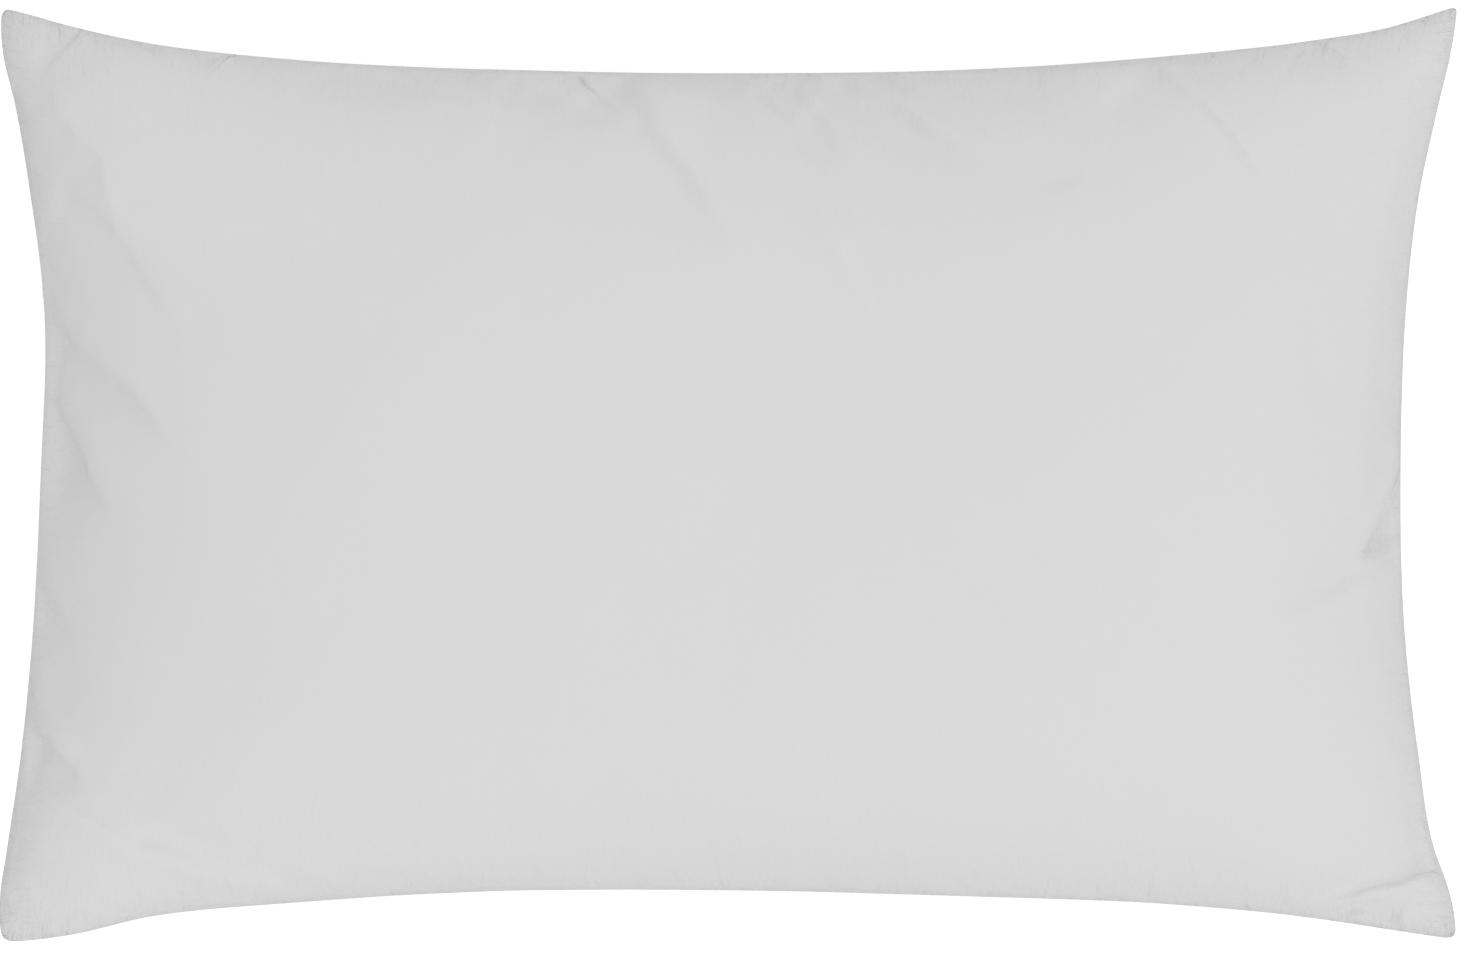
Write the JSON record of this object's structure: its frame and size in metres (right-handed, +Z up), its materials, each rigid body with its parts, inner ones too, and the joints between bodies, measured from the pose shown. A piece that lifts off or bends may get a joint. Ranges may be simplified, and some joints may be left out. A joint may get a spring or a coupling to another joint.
{
  "type": "bed pillow",
  "caption": "Plump rectangular bed pillow: a plain white woven cotton case with knife-edge seams, filled with hollow polyester fibre.",
  "frame": {"origin": "on the surface that the pillow rests on, under the middle of its box", "axes": "+X along the long sides, +Y along the short ends, +Z up out of the face"},
  "size_m": [0.7238, 0.464, 0.178],
  "materials": {
    "case_cotton": "close plain-woven white cotton with a soft dull sheen",
    "hollow_fibre": "crimped white hollow polyester fibre",
    "sewing_thread": "spun white polyester thread",
    "label_satin": "plain white woven satin tape, blank"
  },
  "bodies": {
    "root": {"face_panel": "case_cotton", "back_panel": "case_cotton", "upper_fibre_layer": "hollow_fibre", "lower_fibre_layer": "hollow_fibre", "fibre_core": "hollow_fibre", "far_side_seam": "sewing_thread", "near_side_seam": "sewing_thread", "right_end_seam": "sewing_thread", "left_end_seam": "sewing_thread", "closing_seam": "sewing_thread", "overlock_thread": "sewing_thread", "care_label": "label_satin"}
  },
  "joints": []
}
